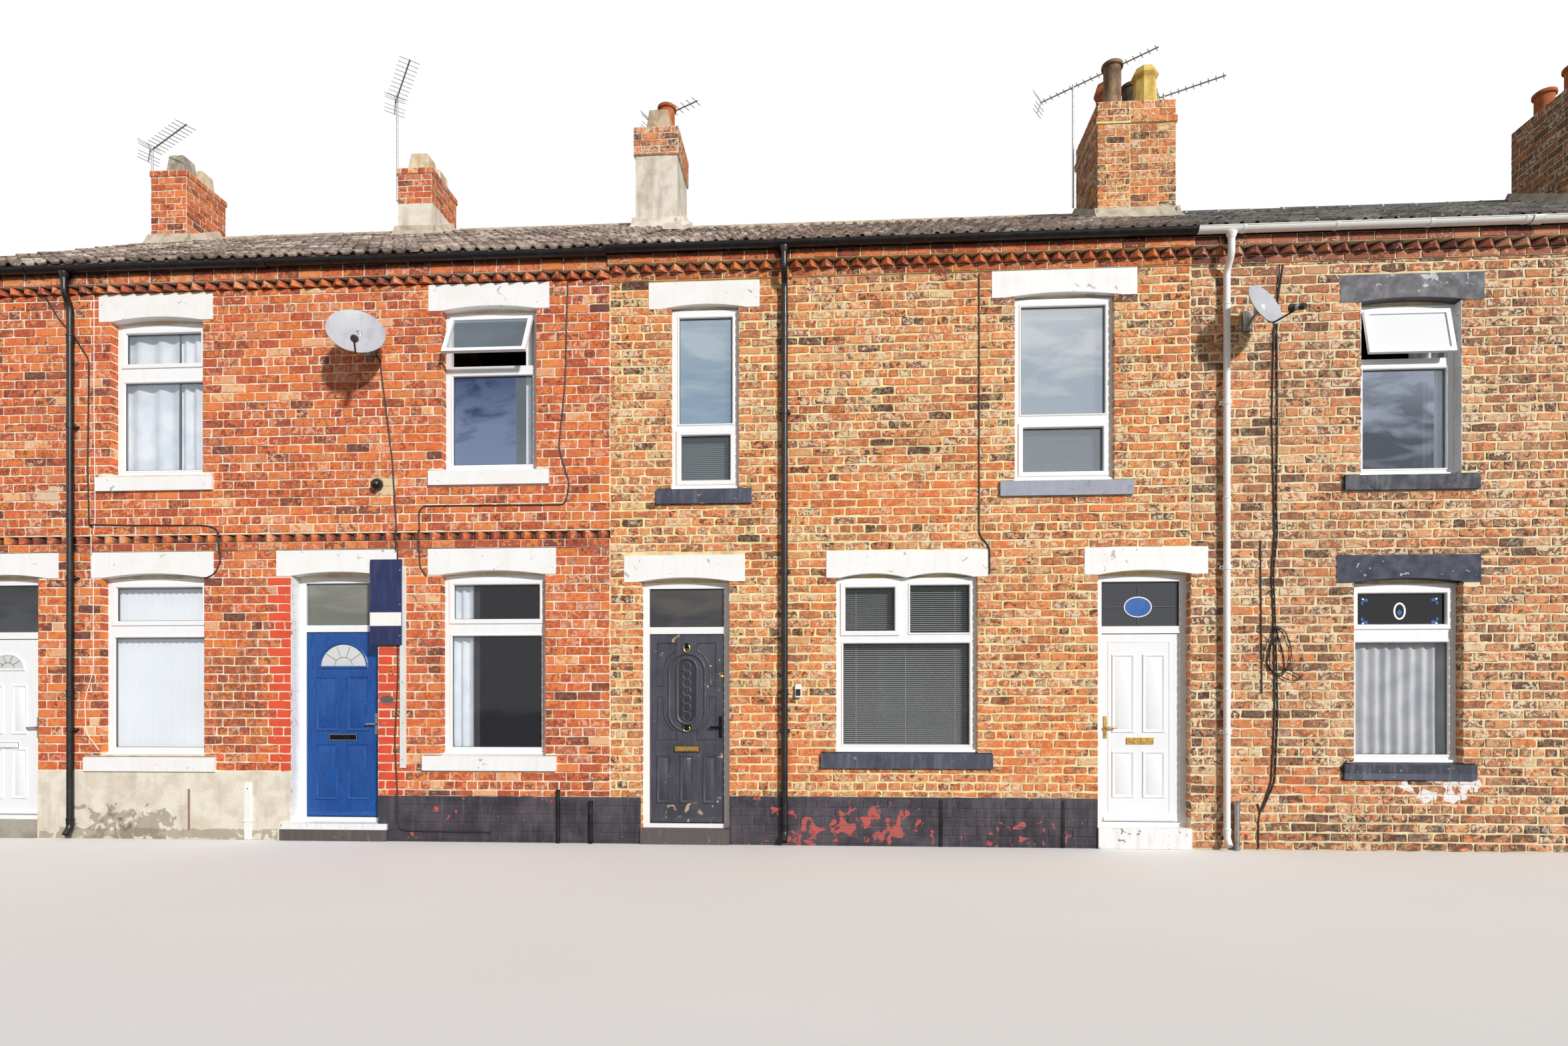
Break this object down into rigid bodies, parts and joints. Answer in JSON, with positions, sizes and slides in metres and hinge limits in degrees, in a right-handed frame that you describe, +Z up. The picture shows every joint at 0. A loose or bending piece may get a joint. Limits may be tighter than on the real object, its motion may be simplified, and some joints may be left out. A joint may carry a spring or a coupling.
{
  "type": "terraced house row",
  "caption": "Row of terraced brick houses with a pitched tile roof, dogtooth eaves courses, chimney stacks, casement windows and panelled front doors.",
  "frame": {"origin": "centre of the row's footprint, at pavement level on the underside of the ground floor", "axes": "+X along the row to the right as seen from the street, -Y towards the street (front), +Z up"},
  "size_m": [20.4123, 7.9796, 10.6631],
  "materials": {
    "red_brick": "rough fired brick, pale mortar",
    "mixed_brick": "weathered brick, buff mortar",
    "buff_brick": "weathered brick, cream mortar",
    "common_brick": "rough fired brick",
    "concrete": "float finish",
    "floor_boards": "bare boards",
    "roof_tile": "weathered interlocking tiles",
    "roof_slate": "weathered interlocking tiles",
    "ridge_tile": "weathered",
    "fired_clay": "fired clay, matt",
    "black_plastic": "semi-gloss black",
    "white_plastic": "off-white",
    "white_stone": "white masonry paint",
    "dark_stone": "dark masonry paint",
    "step_stone": "painted stone",
    "grey_render": "cement render",
    "black_render": "black masonry paint",
    "white_frame": "white frame section",
    "window_glass": "clear",
    "white_leaf": "white",
    "blue_leaf": "blue grained skin",
    "black_leaf": "flaked black paint",
    "green_leaf": "painted",
    "grey_metal": "grey paint",
    "bare_metal": "dull",
    "cable_black": "black sheath",
    "navy_board": "plain sheet",
    "curtain_cloth": "woven",
    "blind_slats": "slats"
  },
  "bodies": {
    "houses": {"front_wall_upper_red": "red_brick", "front_wall_upper_c": "mixed_brick", "front_wall_upper_d": "buff_brick", "front_wall_ground_red": "red_brick", "front_wall_ground_c": "mixed_brick", "front_wall_ground_d": "buff_brick", "party_walls": "common_brick", "rear_wall_red": "red_brick", "rear_wall_c": "mixed_brick", "rear_wall_d": "buff_brick", "ground_floor": "concrete", "first_floor": "floor_boards", "roof_tiles_abc": "roof_tile", "roof_slates_d": "roof_slate", "ridge_tiles": "ridge_tile", "chimney_a": "red_brick", "chimney_b": "red_brick", "chimney_bc": "mixed_brick", "chimney_cd": "mixed_brick", "chimney_d": "mixed_brick", "chimney_pots": "fired_clay", "eaves_band_red": "red_brick", "eaves_band_c": "mixed_brick", "eaves_band_d": "mixed_brick", "string_band": "red_brick", "gutters_black": "black_plastic", "gutters_white": "white_plastic", "downpipes_black": "black_plastic", "downpipes_white": "white_plastic", "lintels_white": "white_stone", "lintels_dark": "dark_stone", "sills_light": "white_stone", "sills_dark": "dark_stone", "door_steps": "step_stone", "plinth_render": "grey_render", "plinth_black": "black_render", "window_frames": "white_frame", "window_glass": "window_glass", "door_jambs": "white_frame", "door_rails": "white_frame", "fixed_doors": "green_leaf", "satellite_dishes": "grey_metal", "aerials": "bare_metal", "wall_cables": "cable_black", "sale_board": "navy_board", "curtains": "curtain_cloth", "blinds": "blind_slats"},
    "door_a": {"door_leaf_a": "white_leaf"},
    "door_b": {"door_leaf_b": "blue_leaf"},
    "door_c1": {"door_leaf_c1": "black_leaf"},
    "door_c2": {"door_leaf_c2": "white_leaf"}
  },
  "joints": [
    {"name": "front_door_a", "type": "hinge", "parent": "houses", "child": "door_a", "pos_m": [-9.7855, -3.38, 1.2], "axis": [0, 0, 1], "range_deg": [0, 90]},
    {"name": "front_door_b", "type": "hinge", "parent": "houses", "child": "door_b", "pos_m": [-5.8355, -3.33, 1.2], "axis": [0, 0, 1], "range_deg": [0, 90]},
    {"name": "front_door_c_left", "type": "hinge", "parent": "houses", "child": "door_c1", "pos_m": [-1.9035, -3.38, 1.2], "axis": [0, 0, 1], "range_deg": [0, 90]},
    {"name": "front_door_c_right", "type": "hinge", "parent": "houses", "child": "door_c2", "pos_m": [3.7675, -3.38, 1.2], "axis": [0, 0, -1], "range_deg": [0, 90]}
  ]
}
